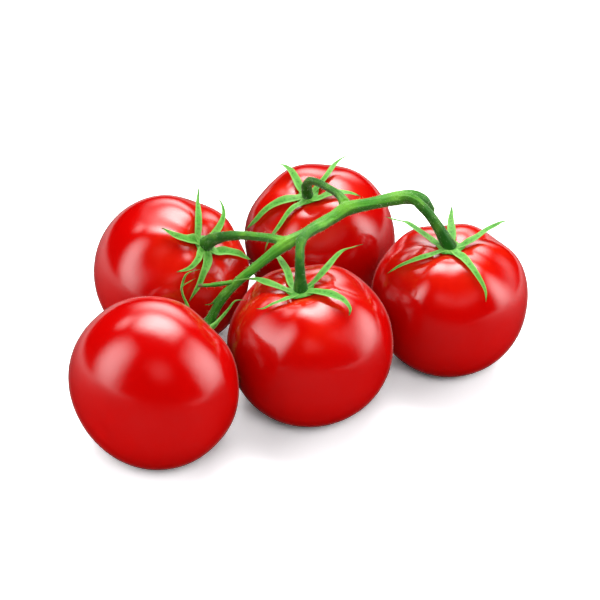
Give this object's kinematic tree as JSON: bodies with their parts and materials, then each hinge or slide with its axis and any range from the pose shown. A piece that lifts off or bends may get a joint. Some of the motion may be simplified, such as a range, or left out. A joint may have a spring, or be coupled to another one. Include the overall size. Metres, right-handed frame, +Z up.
{
  "type": "truss of tomatoes",
  "caption": "Ripe red tomatoes on their vine, lying on a surface, held together by a green arched main stem with leafy calyxes.",
  "frame": {"origin": "on the surface that the fruits rest on, under the middle of the truss's bounding box", "axes": "+X along the truss towards the cut end of the stem, +Y towards the back fruits, +Z up"},
  "size_m": [0.1759, 0.1677, 0.0786],
  "materials": {
    "tomato_skin": "smooth glossy ripe skin",
    "main_stem_green": "light green, finely hairy",
    "stalk_green": "darker green, finely hairy",
    "calyx_green": "light green leaf, paler at the edges",
    "withered_stalk": "green drying to brown"
  },
  "bodies": {
    "root": {"main_stem": "main_stem_green", "spent_flower_stalk": "withered_stalk", "tomato_front_left": "tomato_skin", "tomato_back_left": "tomato_skin", "tomato_back_centre": "tomato_skin", "tomato_front_centre": "tomato_skin", "tomato_right": "tomato_skin", "calyx_front_left": "calyx_green", "calyx_back_left": "calyx_green", "calyx_back_centre": "calyx_green", "calyx_front_centre": "calyx_green", "calyx_right": "calyx_green", "stalk_front_left": "stalk_green", "stalk_back_left": "stalk_green", "stalk_back_centre": "stalk_green", "stalk_front_centre": "stalk_green", "stalk_right": "stalk_green"}
  },
  "joints": []
}
